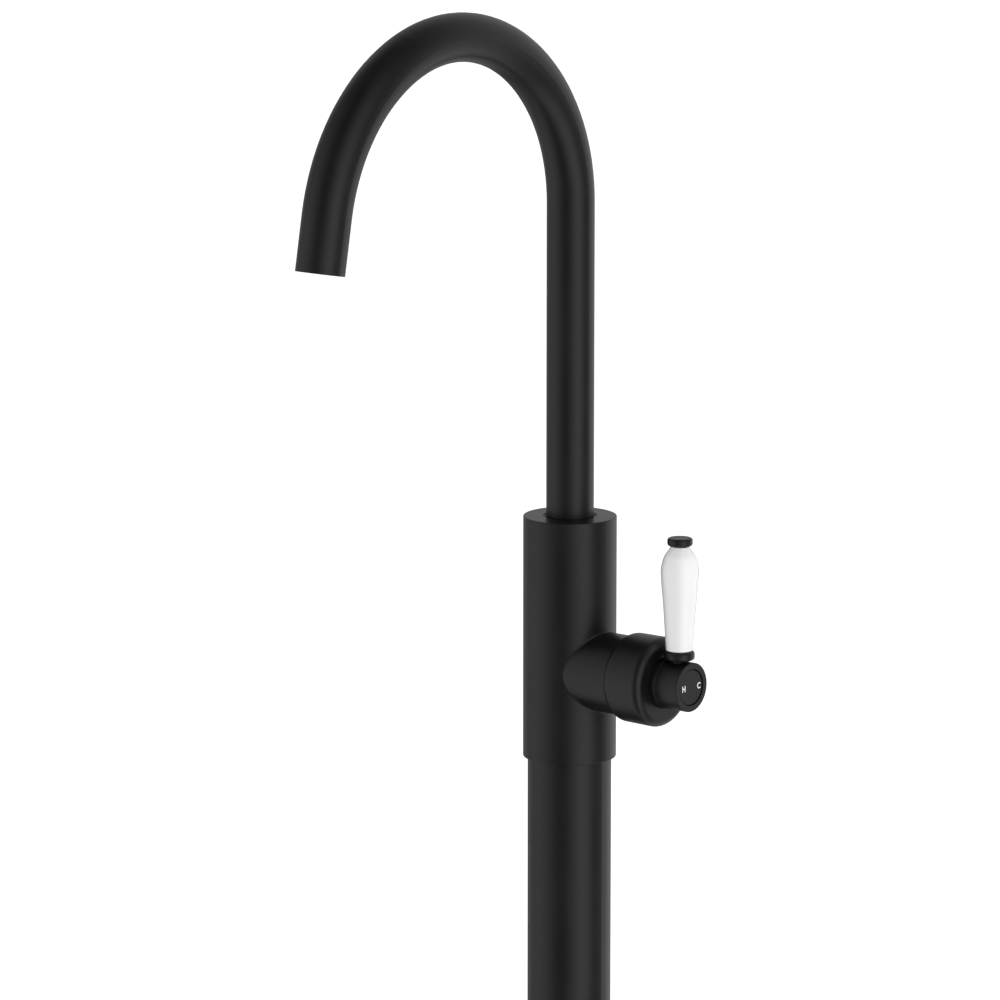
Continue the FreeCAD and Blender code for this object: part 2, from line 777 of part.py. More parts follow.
def waterway_tools():
    """Hose holes and inlet ways, the outlet way, and the ports in the chamber's floor."""
    way_depth = chamber_floor + dim.overrun
    way_back = tail_radius - dim.outlet_way_radius - dim.outlet_way_margin
    out_length = way_depth + way_back
    out_at = (-way_back, 0, outlet_port_height)
    up_bottom = outlet_port_height - dim.outlet_port_radius - dim.way_end_depth
    up_length = tail_hole_floor + dim.overrun - up_bottom
    tools = [
        cylinder(dim.outlet_port_radius, out_length, out_at, "+X"),
        cylinder(dim.outlet_way_radius, up_length, (-way_back, 0, up_bottom)),
    ]
    hole_start = upper_spigot_bottom - dim.overrun
    hole_length = union_hole_depth + dim.overrun
    way_low = hole_start + union_hole_depth
    way_top = inlet_port_height + dim.inlet_port_radius + dim.way_end_depth
    for side in SIDES.values():
        across = dim.hose_offset * side
        tools.append(cylinder(union_hole_radius, hole_length, (0, across, hole_start)))
        tools.append(cylinder(dim.waterway_radius, way_top - way_low, (0, across, way_low)))
        port_at = (0, dim.inlet_port_side * side, inlet_port_height)
        tools.append(cylinder(dim.inlet_port_radius, way_depth, port_at, "+X"))
    return tools


def peg_bars(radius, length, start):
    """The cartridge's two locating pegs, or the holes that take them."""
    bars = []
    for sign in (-1, 1):
        at = (start, 0, valve_height + peg_offset * sign)
        bars.append(cylinder(radius, length, at, "+X"))
    return bars


def make_mixer_body():
    """Casting with its spout socket, waterways and valve chamber."""
    chamber_length = neck_thread_reach + dim.overrun - chamber_floor
    peg_start = chamber_floor - dim.peg_length - dim.free_gap
    tools = spout_socket_tools() + waterway_tools()
    tools.append(cylinder(chamber_radius, chamber_length, (chamber_floor, 0, valve_height), "+X"))
    tools += peg_bars(dim.peg_radius + dim.seat_gap, dim.peg_length + dim.overrun, peg_start)
    tools.append(lock_screw_bar(screw_hole_radius, dim.overrun))
    keep("mixer_body", cut(body_casting(), tools))


def make_spout_bearing():
    """Plastic bush in the sleeve's top, and the screw whose point limits the swivel."""
    inner = dim.spout_radius + dim.run_gap
    bush_low = socket_floor + dim.seat_gap
    keep("spout_bush", turned(tube(inner, inner + dim.bush_wall, bush_low, sleeve_top - dim.bush_recess)))
    slot_floor = tail_radius - dim.stop_slot_depth
    point_tip = slot_floor + dim.free_gap
    shank_start = tail_hole_radius + dim.free_gap
    shank_end = sleeve_radius - dim.stop_screw_recess
    point_length = shank_start + dim.overrun - point_tip
    point = cylinder(dim.stop_point_radius, point_length, (0, point_tip, stop_height), "+Y")
    shank = cylinder(dim.screw_radius, shank_end - shank_start, (0, shank_start, stop_height), "+Y")
    keep("spout_stop_screw", fuse([point, shank]))


# ---------------------------------------------------------------- cartridge, along the valve's axis
def port_bars(extra, start, length):
    """A bar through each of the three ports, each with a little extra radius."""
    bars = [cylinder(dim.outlet_port_radius + extra, length, (start, 0, outlet_port_height), "+X")]
    for side in SIDES.values():
        at = (start, dim.inlet_port_side * side, inlet_port_height)
        bars.append(cylinder(dim.inlet_port_radius + extra, length, at, "+X"))
    return bars


def make_cartridge_base():
    """Base with three ports, its rubber port seals, and the fixed ceramic disc on it."""
    solid = cylinder(dim.cartridge_radius, dim.base_thickness, (base_rear, 0, valve_height), "+X")
    pegs = peg_bars(dim.peg_radius, dim.peg_length + dim.overrun, base_rear - dim.peg_length)
    seal_depth = dim.port_seal_thickness - dim.free_gap
    seats = port_bars(dim.port_seal_wall + dim.seat_gap, base_rear - dim.overrun, seal_depth + dim.overrun)
    ports = port_bars(0, base_rear - dim.overrun, dim.base_thickness + dim.overrun * 2)
    keep("cartridge_base", cut(fuse([solid] + pegs), seats + ports))
    rings = port_bars(dim.port_seal_wall, chamber_floor, dim.port_seal_thickness)
    bores = port_bars(0, chamber_floor - dim.overrun, dim.port_seal_thickness + dim.overrun * 2)
    keep("port_seals", group([cut(ring, [bore]) for ring, bore in zip(rings, bores)]))
    disc_radius = housing_bore - dim.fixed_disc_gap
    disc = cylinder(disc_radius, dim.disc_thickness, (base_front, 0, valve_height), "+X")
    disc_ports = port_bars(0, base_front - dim.overrun, dim.disc_thickness + dim.overrun * 2)
    keep("fixed_ceramic_disc", cut(disc, disc_ports))


def make_moving_disc():
    """Ceramic disc that slides over the ports, and the carrier that the stem's ball drives."""
    centre_height = valve_height - disc_drop
    disc = cylinder(moving_disc_radius, dim.disc_thickness, (moving_disc_rear, 0, centre_height), "+X")
    half_height = dim.disc_pocket_height / 2
    pocket_radius = moving_disc_radius - dim.disc_pocket_wall
    pocket_start = moving_disc_rear - dim.overrun
    pocket_end = moving_disc_rear + dim.disc_pocket_depth
    round_pocket = cylinder(pocket_radius, pocket_end - pocket_start, (pocket_start, 0, centre_height), "+X")
    pocket_band = block((pocket_start, -moving_disc_radius, centre_height - half_height),
                        (pocket_end, moving_disc_radius, centre_height + half_height))
    keep("moving_ceramic_disc", cut(disc, [common(round_pocket, pocket_band)]))
    blank = cylinder(moving_disc_radius, dim.carrier_thickness, (moving_disc_front, 0, centre_height), "+X")
    half_width = dim.carrier_half_width
    flats = block((moving_disc_front - dim.overrun, -half_width, centre_height - moving_disc_radius),
                  (carrier_front + dim.overrun, half_width, centre_height + moving_disc_radius))
    socket = cylinder(dim.stem_ball_radius + dim.free_gap, dim.carrier_thickness + dim.overrun * 2,
                      (moving_disc_front - dim.overrun, 0, valve_height), "+X")
    keep("disc_carrier", cut(common(blank, flats), [socket]))


def make_rotor():
    """Rotor with the carrier's channel, the snout that holds the pivot pin, and the stem's slot."""
    blank = turned([
        (0, channel_rear),
        (rotor_radius, channel_rear),
        (rotor_radius, flange_front),
        (dim.snout_radius, flange_front),
        (dim.snout_radius, snout_front),
        (0, snout_front),
    ], VALVE_AXIS, "+X")
    channel_half = dim.carrier_half_width + dim.slide_gap
    channel = block((channel_rear - dim.overrun, -channel_half, valve_height - dim.cartridge_radius),
                    (flange_rear, channel_half, valve_height + dim.cartridge_radius))
    slot_half = dim.stem_width / 2 + dim.slide_gap
    slot_low = valve_height - dim.stem_width / 2 - dim.snout_lead * sine(dim.tilt_range) - dim.free_gap
    square_rise = dim.stem_width / 2 + (pivot_reach - flange_front) * sine(dim.tilt_range)
    narrow = block((flange_front - dim.overrun, -slot_half, slot_low),
                   (snout_front + dim.overrun, slot_half, valve_height + square_rise - dim.free_gap))
    arm_top = valve_height + disc_travel + dim.stem_arm_radius + dim.free_gap
    wide = block((flange_rear - dim.overrun, -slot_half, slot_low), (flange_front, slot_half, arm_top))
    pin_hole = cylinder(dim.pivot_pin_radius + dim.seat_gap, dim.snout_radius * 2 + dim.overrun * 2,
                        (pivot_reach, -dim.snout_radius - dim.overrun, valve_height), "+Y")
    keep("cartridge_rotor", cut(blank, [channel, narrow, wide, pin_hole]))
    pin_half = dim.snout_radius - dim.free_gap
    pin_at = (pivot_reach, -pin_half, valve_height)
    keep("pivot_pin", cylinder(dim.pivot_pin_radius, pin_half * 2, pin_at, "+Y"))


def make_cartridge_housing():
    """Housing shell over the discs, the nut that clamps it, and the washer behind the bonnet."""
    keep("cartridge_housing", turned([
        (housing_bore, base_front + dim.seat_gap),
        (dim.cartridge_radius, base_front + dim.seat_gap),
        (dim.cartridge_radius, housing_front),
        (dim.snout_radius + dim.run_gap, housing_front),
        (dim.snout_radius + dim.run_gap, housing_ceiling),
        (housing_bore, housing_ceiling),
    ], VALVE_AXIS, "+X"))
    washer_front = dim.neck_reach + dim.bonnet_washer_thickness
    nut_rear = washer_front + dim.seat_gap
    nut_bore = neck_thread_radius + dim.seat_gap
    nut_radius = neck_radius - dim.seat_gap
    lip_front = lip_rear + dim.nut_lip_thickness
    ring = turned([
        (nut_bore, nut_rear),
        (nut_radius, nut_rear),
        (nut_radius, lip_front),
        (nut_lip_radius, lip_front),
        (nut_lip_radius, lip_rear),
        (nut_bore, lip_rear),
    ], VALVE_AXIS, "+X")
    notches = []
    half = dim.nut_notch_width / 2
    notch_reach = nut_radius + dim.overrun
    for index in range(NUT_NOTCH_PAIRS):
        notch = block((lip_front - dim.nut_notch_depth, -notch_reach, -half),
                      (lip_front + dim.overrun, notch_reach, half))
        turn = FreeCAD.Rotation(FreeCAD.Vector(1, 0, 0), 180.0 * index / NUT_NOTCH_PAIRS)
        holder = doc.addObject("Part::Compound", "TurnedNotch")
        holder.Links = [notch]
        place(holder, VALVE_AXIS)
        holder.Placement = FreeCAD.Placement(holder.Placement.Base, turn)
        notches.append(holder)
    core_at = (lip_rear - dim.overrun, 0, valve_height)
    core = cylinder(dim.cartridge_radius, dim.nut_lip_thickness + dim.overrun * 2, core_at, "+X")
    keep("cartridge_nut", cut(ring, [cut(fuse(notches), [core])]))
    washer = tube(nut_bore, nut_radius, dim.neck_reach + dim.seat_gap, washer_front)
    keep("bonnet_washer", turned(washer, VALVE_AXIS, "+X"))


def make_bonnet():
    """Round shell over the nut. Its mouth lies in the plane of the pivot, so that the hub's ball fills it
    at every tilt."""
    rear = dim.neck_reach + dim.seat_gap
    rear_radius = neck_radius + dim.bonnet_rear_wall
    rear_rise = dim.bonnet_rear_wall - dim.bonnet_rear_land
    rear_curve = (dim.bonnet_rear_length * dim.bonnet_rear_length / rear_rise + rear_rise) / 2
    front_radius = rear_radius + dim.bonnet_flare
    front_edge = dim.bonnet_front_edge
    mouth_radius = hub_ball_radius + dim.bonnet_mouth_gap
    inner_front = bonnet_front - dim.bonnet_front_wall
    keep("bonnet", turned([
        (neck_radius, rear),
        (rear_radius - rear_rise, rear),
        (rear_radius, rear + dim.bonnet_rear_length, rear_curve, 1),
        (front_radius, bonnet_front - front_edge),
        (front_radius - front_edge, bonnet_front, front_edge, 1),
        (mouth_radius, bonnet_front),
        (mouth_radius, inner_front),
        (neck_radius, inner_front),
    ], VALVE_AXIS, "+X"))


# ---------------------------------------------------------------- lever and hub
def make_stem():
    """Square stem on the pivot pin, with the arm and ball that drive the disc carrier."""
    half = dim.stem_width / 2
    square_rear = pivot_reach - dim.stem_square_back
    square = block((square_rear, -half, valve_height - half), (stem_reach, half, valve_height + half))
    arm_length = square_rear + dim.overrun - ball_reach
    arm = cylinder(dim.stem_arm_radius, arm_length, (ball_reach, 0, valve_height), "+X")
    ball = doc.addObject("Part::Sphere", "Ball")
    bind(ball, "Radius", dim.stem_ball_radius)
    place(ball, (ball_reach, 0, valve_height))
    hole = cylinder(dim.pivot_pin_radius + dim.run_gap, dim.stem_width + dim.overrun * 2,
                    (pivot_reach, -half - dim.overrun, valve_height), "+Y")
    keep("cartridge_stem", cut(fuse([square, arm, ball]), [hole]))


def make_hub():
    """Hub whose hollow tail swells into part of a ball about the pivot, with holes for stem, lever, screw
    and index disc."""
    edge = dim.hub_edge_radius
    recess_radius = dim.hub_radius - dim.hub_rim
    recess_floor = hub_front - dim.index_recess_depth
    screw_reach = hub_hollow_floor + dim.hub_screw_inset
    blank = turned([
        (0, hub_hollow_floor),
        (hub_hollow_radius, hub_hollow_floor),
        (hub_hollow_radius, hub_rear),
        (dim.hub_radius, hub_rear),
        (dim.hub_radius, hub_ball_front, hub_ball_radius, 1),
        (dim.hub_radius, hub_front - edge),
        (dim.hub_radius - edge, hub_front, edge, 1),
        (recess_radius, hub_front),
        (recess_radius, recess_floor),
        (0, recess_floor),
    ], VALVE_AXIS, "+X")
    half = dim.stem_width / 2 + dim.seat_gap
    square_hole = block((hub_hollow_floor - dim.overrun, -half, valve_height - half),
                        (stem_reach + dim.free_gap, half, valve_height + half))
    hub_outside = dim.hub_radius + dim.overrun
    stud_hole_floor = stud_bottom - dim.free_gap
    stud_hole = cylinder(dim.stud_radius + dim.seat_gap, hub_outside - stud_hole_floor,
                         (lever_reach, 0, valve_height + stud_hole_floor))
    collar_hole = cylinder(collar_neck_radius + dim.seat_gap, hub_outside - collar_seat,
                           (lever_reach, 0, valve_height + collar_seat))
    screw_hole = cylinder(dim.hub_screw_radius + dim.seat_gap, hub_outside - half,
                          (screw_reach, 0, valve_height - half), "-Z")
    keep("lever_hub", cut(blank, [square_hole, stud_hole, collar_hole, screw_hole]))
    screw_top = dim.stem_width / 2 + dim.seat_gap
    screw_length = dim.hub_radius - dim.free_gap * 2 - screw_top
    keep("hub_set_screw", cylinder(dim.hub_screw_radius, screw_length,
                                   (screw_reach, 0, valve_height - screw_top), "-Z"))


def make_index_disc():
    """Disc in the hub's end, with its raised hot and cold letters."""
    rear = hub_front - dim.index_recess_depth + dim.seat_gap
    front = rear + dim.index_disc_thickness
    radius = dim.hub_radius - dim.hub_rim - dim.index_gap
    keep("index_disc", cylinder(radius, dim.index_disc_thickness, (rear, 0, valve_height), "+X"))
    letter_front = front + dim.letter_relief
    half_height = dim.letter_height / 2
    half_width = dim.letter_width / 2
    half_stroke = dim.letter_stroke / 2
    hot_middle = -dim.hot_letter_offset
    low = valve_height - half_height
    high = valve_height + half_height
    bars = [block((front, hot_middle - half_width, valve_height - half_stroke),
                  (letter_front, hot_middle + half_width, valve_height + half_stroke))]
    for side in SIDES.values():
        middle = hot_middle + (half_width - half_stroke) * side
        bars.append(block((front, middle - half_stroke, low), (letter_front, middle + half_stroke, high)))
    keep("hot_letter", fuse(bars))
    at = (front, dim.cold_letter_offset, valve_height)
    ring = cylinder(half_height, dim.letter_relief, at, "+X")
    bore = cylinder(half_height - dim.letter_stroke, dim.letter_relief + dim.overrun, at, "+X")
    half_gap = dim.letter_opening / 2
    gap_end = dim.cold_letter_offset + dim.letter_height
    gap = block((front - dim.overrun, dim.cold_letter_offset + half_stroke, valve_height - half_gap),
                (letter_front + dim.overrun, gap_end, valve_height + half_gap))
    keep("cold_letter", cut(ring, [bore, gap]))


def make_lever():
    """Stud, collar, porcelain grip between two washers, and the cap screwed on the stud's end."""
    keep("lever_stud", turned([
        (0, stud_bottom),
        (dim.stud_radius, stud_bottom),
        (dim.stud_radius, stud_top),
        (0, stud_top),
    ], LEVER_AXIS))
    bore = dim.stud_radius + dim.seat_gap
    edge = dim.collar_edge_radius
    keep("lever_collar", turned([
        (bore, collar_seat + dim.seat_gap),
        (collar_neck_radius, collar_seat + dim.seat_gap),
        (collar_neck_radius, collar_bottom),
        (dim.collar_radius - edge, collar_bottom),
        (dim.collar_radius, collar_bottom + edge, edge, 1),
        (dim.collar_radius, collar_top - edge),
        (dim.collar_radius - edge, collar_top, edge, 1),
        (bore, collar_top),
    ], LEVER_AXIS))
    washers = [
        turned(tube(bore, dim.grip_foot_radius - dim.free_gap, collar_top, grip_foot), LEVER_AXIS),
        turned(tube(bore, dim.grip_washer_radius, grip_top, cap_bottom), LEVER_AXIS),
    ]
    keep("grip_washers", group(washers))
    grip_bore = dim.stud_radius + dim.grip_bore_gap
    keep("porcelain_grip", turned([
        (grip_bore, grip_foot),
        (dim.grip_foot_radius, grip_foot),
        (dim.grip_flare_radius, grip_flare_top, dim.grip_flare_curve, -1),
        (dim.grip_belly_radius, grip_belly, dim.grip_belly_curve, 1),
        (dim.grip_head_radius, grip_top, dim.grip_shoulder_curve, 1),
        (grip_bore, grip_top),
    ], LEVER_AXIS))
    cap_top = cap_bottom + dim.cap_thickness
    keep("lever_cap", turned([
        (bore, cap_bottom),
        (dim.cap_radius - dim.cap_lower_edge, cap_bottom),
        (dim.cap_radius, cap_bottom + dim.cap_lower_edge, dim.cap_lower_edge, 1),
        (dim.cap_radius, cap_top - dim.cap_upper_edge),
        (dim.cap_radius - dim.cap_upper_edge, cap_top, dim.cap_upper_edge, 1),
        (0, cap_top),
        (0, stud_top + dim.seat_gap),
        (bore, stud_top + dim.seat_gap),
    ], LEVER_AXIS))


# ---------------------------------------------------------------- spout
def make_spout_tube():
    """Bent tube: a straight riser, two bends that run into each other, and a short straight end."""
    body = doc.addObject("PartDesign::Body", "BentTube")
    path = new_sketch(body, "YZ_Plane")
    draw(path, [
        (0, spout_foot),
        (0, bend_start),
        (first_end[0], first_end[1], dim.first_bend_radius, 1),
        (second_end[0], second_end[1], dim.second_bend_radius, 1),
        spout_tip,
    ], closed=False)
    section = new_sketch(body, "XY_Plane")
    section.AttachmentOffset = FreeCAD.Placement(FreeCAD.Vector(0, 0, spout_foot.value), FreeCAD.Rotation())
    bind(section, "AttachmentOffset.Base.z", spout_foot)
    for radius in (dim.spout_radius, dim.spout_radius - dim.spout_wall):
        circle = sketch_circle(section, radius)
        section.addConstraint(Sketcher.Constraint("Coincident", circle, 3, -1, 1))
    pipe = body.newObject("PartDesign::AdditivePipe", "Bend")
    pipe.Profile = section
    pipe.Spine = path
    keep("spout_tube", body)


def make_spout_tail():
    """Tail brazed into the tube, with two ring grooves and the swivel's stop slot at the back."""
    high = spout_foot + dim.tail_insertion
    groove_half = dim.ring_cord_radius + dim.seat_gap * 2
    groove_floor = tail_radius - dim.ring_cord_radius * 2
    outline = [(tail_bore_radius, tail_bottom), (tail_radius, tail_bottom)]
    rings = []
    for middle in (lower_ring_height, upper_ring_height):
        outline.append((tail_radius, middle - groove_half))
        outline.append((groove_floor, middle - groove_half))
        outline.append((groove_floor, middle + groove_half))
        outline.append((tail_radius, middle + groove_half))
        ring_radius = groove_floor + dim.ring_cord_radius + dim.seat_gap / 2
        rings.append(torus(ring_radius, dim.ring_cord_radius - dim.seat_gap / 2, (0, 0, middle)))
    outline.append((tail_radius, high))
    outline.append((tail_bore_radius, high))
    keep("spout_o_rings", group(rings))
    slot_floor = tail_radius - dim.stop_slot_depth
    slot_low = stop_height - stop_slot_width / 2
    point_half_angle = math.degrees(math.asin((stop_slot_width / 2).value / slot_floor.value))
    slot = cylinder(tail_radius + dim.overrun, stop_slot_width, (0, 0, slot_low))
    bind(slot, "Angle", dim.swivel_range * 2 + 2 * point_half_angle)
    turn = 90.0 - dim.swivel_range.value - point_half_angle
    slot.Placement = FreeCAD.Placement(slot.Placement.Base, FreeCAD.Rotation(FreeCAD.Vector(0, 0, 1), turn))
    core = cylinder(slot_floor, stop_slot_width + dim.overrun * 2, (0, 0, slot_low - dim.overrun))
    keep("spout_tail", cut(turned(outline), [cut(slot, [core])]))


def at_outlet(item):
    """Set a piece in the spout's end, its own +Z pointing back up the tube from the outlet."""
    place(item, (0, spout_tip[0], spout_tip[1]))
    lean = FreeCAD.Rotation(FreeCAD.Vector(-1, 0, 0), 180.0 - total_turn.value)
    item.Placement = FreeCAD.Placement(item.Placement.Base, lean)
    bind(item, "Placement.Rotation.Angle", (180 - total_turn))
    return item


def make_aerator():
    """Threaded housing, its perforated insert, and the washer above them."""
    radius = tail_radius
    bore = radius - dim.aerator_wall
    low = dim.aerator_recess
    high = low + dim.aerator_length
    keep("aerator_housing", at_outlet(turned([
        (bore - dim.aerator_lip, low),
        (radius, low),
        (radius, high),
        (bore, high),
        (bore, low + dim.aerator_lip),
        (bore - dim.aerator_lip, low + dim.aerator_lip),
    ])))
    insert_low = low + dim.aerator_lip + dim.seat_gap
    disc = cylinder(bore - dim.seat_gap, dim.aerator_insert_thickness, (0, 0, insert_low))
    hole_low = insert_low - dim.overrun
    hole_length = dim.aerator_insert_thickness + dim.overrun * 2
    holes = [cylinder(dim.aerator_hole_radius, hole_length, (0, 0, hole_low))]
    for ring in range(1, AERATOR_RINGS + 1):
        pitch = dim.aerator_ring_pitch * ring
        for across, along in around(HOLES_PER_RING * ring):
            at = (pitch * across, pitch * along, hole_low)
            holes.append(cylinder(dim.aerator_hole_radius, hole_length, at))
    keep("aerator_insert", at_outlet(cut(disc, holes)))
    washer_low = high + dim.seat_gap
    washer = tube(bore, radius, washer_low, washer_low + dim.aerator_washer_thickness)
    keep("aerator_washer", at_outlet(turned(washer)))


# ---------------------------------------------------------------- build, check and write
def check_document():
    """Stop if any object failed or any sub-part is empty or broken."""
    for item in doc.Objects:
        faults = [state for state in item.State if state in ("Invalid", "Error")]
        if faults:
            raise RuntimeError(f"{item.Name} ({item.Label}) failed: {faults}")
    for item in subparts:
        if item.Shape.isNull() or not item.Shape.isValid() or not item.Shape.Solids:
            raise RuntimeError(f"{item.Label} has no valid solid")


def write_subparts():
    """Write each sub-part to its own file."""
    os.makedirs("parts", exist_ok=True)
    for item in subparts:
        item.Shape.exportStep(f"parts/{item.Label}.step")
        print(f"{item.Label}: {len(item.Shape.Solids)} solid(s), {item.Shape.Volume / 1000:.3f} cm3")


make_floor_plate()
make_floor_cover()
make_column()
make_supply()
make_mixer_body()
make_spout_bearing()
make_cartridge_base()
make_moving_disc()
make_rotor()
make_cartridge_housing()
make_bonnet()
make_stem()
make_hub()
make_index_disc()
make_lever()
make_spout_tube()
make_spout_tail()
make_aerator()
doc.recompute()
check_document()
write_subparts()
print(f"{len(subparts)} sub-parts")
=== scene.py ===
import math

import bmesh
import bpy
from mathutils import Matrix, Vector


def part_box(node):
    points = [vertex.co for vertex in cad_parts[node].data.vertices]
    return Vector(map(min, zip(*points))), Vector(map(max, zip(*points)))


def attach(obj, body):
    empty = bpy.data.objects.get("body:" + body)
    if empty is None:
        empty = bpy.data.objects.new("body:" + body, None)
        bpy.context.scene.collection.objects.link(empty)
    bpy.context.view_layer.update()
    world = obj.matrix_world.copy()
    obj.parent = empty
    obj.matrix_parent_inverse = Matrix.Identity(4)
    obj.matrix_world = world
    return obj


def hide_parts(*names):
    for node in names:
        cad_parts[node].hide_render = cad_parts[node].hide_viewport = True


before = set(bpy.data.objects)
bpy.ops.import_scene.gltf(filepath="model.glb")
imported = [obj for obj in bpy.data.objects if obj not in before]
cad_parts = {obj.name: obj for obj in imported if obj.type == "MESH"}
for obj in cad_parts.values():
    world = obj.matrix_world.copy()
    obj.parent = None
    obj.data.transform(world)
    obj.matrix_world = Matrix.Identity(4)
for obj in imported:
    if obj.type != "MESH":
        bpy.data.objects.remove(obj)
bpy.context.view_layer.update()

# Everything is in metres, in the row frame: +Z up, the spout to -Y and the valve to +X.
MM = 0.001

# The photograph's camera, worked out from the straight edges of the column, sleeve and spout: its
# azimuth round the column, its distance from the column's axis, its height, how far it looks down
# and how far to the left of that axis, and its lens and sensor in mm.
CAMERA_AZIMUTH = math.radians(39.6)
CAMERA_DISTANCE = 2.9701
CAMERA_HEIGHT = 1.3327
CAMERA_DIP = math.radians(10.948)
CAMERA_YAW = math.radians(0.7205)
CAMERA_LENS = 204.28
CAMERA_SENSOR = 36.0
CAMERA_RANGE = 100.0

# The grey studio that lights the object and that its surfaces reflect: the level by azimuth in
# degrees from the camera's own, positive to its right, and how that falls off by elevation. They are
# held in colour ramps, which go up to 1, so each is divided by the ramps' top. A panel high behind
# the object lights its flat tops. It is full and ends at the cosines given.
STUDIO_ROUND = {
    -180: 0.55, -165: 0.15, -150: 0.56, -128: 0.36, -90: 0.84, -60: 0.64, -30: 0.13, -15: 0.13, 0: 0.38,
    30: 1.16, 45: 1.20, 60: 0.68, 75: 0.08, 90: 0.32, 105: 0.78, 135: 1.14, 165: 0.60, 180: 0.55,
}
STUDIO_RISE = {-90: 0.75, -60: 0.74, -30: 0.92, 0: 0.92, 30: 0.60, 60: 0.22, 90: 0.12}
STUDIO_GREY = 0.8
RAMP_TOP = 1.2
BACK_PANEL = {"rise": math.radians(32.0), "level": 0.24, "outer": 0.78, "inner": 0.93}

# Soft boxes: azimuth in degrees from the camera's own, positive to its right, distance from the
# column's axis, height, diameter, and power in watts. All face the mixer body.
LAMPS = {
    "key": {"side": 75.0, "distance": 2.4, "height": 0.9, "size": 1.8, "power": 42.0},
    "front": {"side": -10.0, "distance": 2.6, "height": 0.9, "size": 1.8, "power": 24.0},
    "fill": {"side": -55.0, "distance": 2.6, "height": 0.9, "size": 1.8, "power": 19.0},
    "top": {"side": 0.0, "distance": 0.4, "height": 3.2, "size": 2.0, "power": 8.0},
}
LAMP_TARGET = Vector((0.0, 0.0, 0.7))

# The floor, and its own light between the distances where it starts and ends its fade into the
# backdrop.
FLOOR_RADIUS = 14.0
FLOOR_DROP = 0.2 * MM
FLOOR_GREY = 0.62
FLOOR_GLOW = {"near": 0.52, "far": 1.0, "start": 0.2, "end": 1.6}

# Outside of the porcelain grip from its foot up: height above the valve's axis and radius, in mm.
# Its foot has a small rounded edge.
GRIP_LINE = (
    (19.1, 7.1), (26.0, 7.6), (34.0, 8.1), (43.0, 8.7), (52.0, 9.5), (58.0, 9.95), (62.0, 10.07),
    (66.0, 9.5), (70.0, 8.1), (73.0, 6.0), (74.7, 4.9),
)
GRIP_LINE_STEPS = 8
GRIP_BORE = 2.9 * MM
GRIP_EDGE_WIDTH = 0.4 * MM
GRIP_EDGE_HEIGHT = 0.3 * MM

# Set screws: the bevel at their ends, and how deep the key goes, at most and as a share of the screw.
SCREW_CHAMFER = 0.35 * MM
KEY_DEPTH = 2.2 * MM
KEY_SHARE = 0.6


# ---------------------------------------------------------------- shader nodes
def grey(level):
    """A neutral colour."""
    return (level, level, level)


def empty_tree(owner, output_kind):
    """The emptied node tree of a material or world, and the surface socket of its output."""
    owner.use_nodes = True
    tree = owner.node_tree
    tree.nodes.clear()
    return tree, tree.nodes.new(output_kind).inputs["Surface"]


def mapped(tree, value, start, end, low, high, kind="LINEAR"):
    """A value mapped from one range to another, and held at its ends."""
    node = tree.nodes.new("ShaderNodeMapRange")
    node.interpolation_type = kind
    for name, limit in zip(("From Min", "From Max", "To Min", "To Max"), (start, end, low, high)):
        node.inputs[name].default_value = limit
    tree.links.new(value, node.inputs["Value"])
    return node.outputs["Result"]


def calculated(tree, operation, *values):
    """The result of one operation on numbers and sockets."""
    node = tree.nodes.new("ShaderNodeMath")
    node.operation = operation
    for socket, value in zip(node.inputs, values):
        if isinstance(value, float):
            socket.default_value = value
        else:
            tree.links.new(value, socket)
    return node.outputs["Value"]


def mixed(tree, share, first, second):
    """Two shaders, the second by its share."""
    node = tree.nodes.new("ShaderNodeMixShader")
    for socket, source in zip(node.inputs, (share, first, second)):
        tree.links.new(source, socket)
    return node.outputs["Shader"]


# ---------------------------------------------------------------- materials
EVEN = (1.0, 1.0, 1.0)
NOISE_DETAIL = 3.0
NOISE_LOW = 0.3
NOISE_HIGH = 0.7
GRAINS_PER_CLOUD = 30.0

# What a finish sets on the shader's own sockets.
PLAIN = {"Metallic": 0.0, "IOR": 1.5}
COATED = {"Metallic": 0.0, "IOR": 1.58}
METAL = {"Metallic": 1.0, "IOR": 1.5}
GLAZED = {"Metallic": 0.0, "IOR": 1.5, "Coat Weight": 0.6, "Coat Roughness": 0.05}

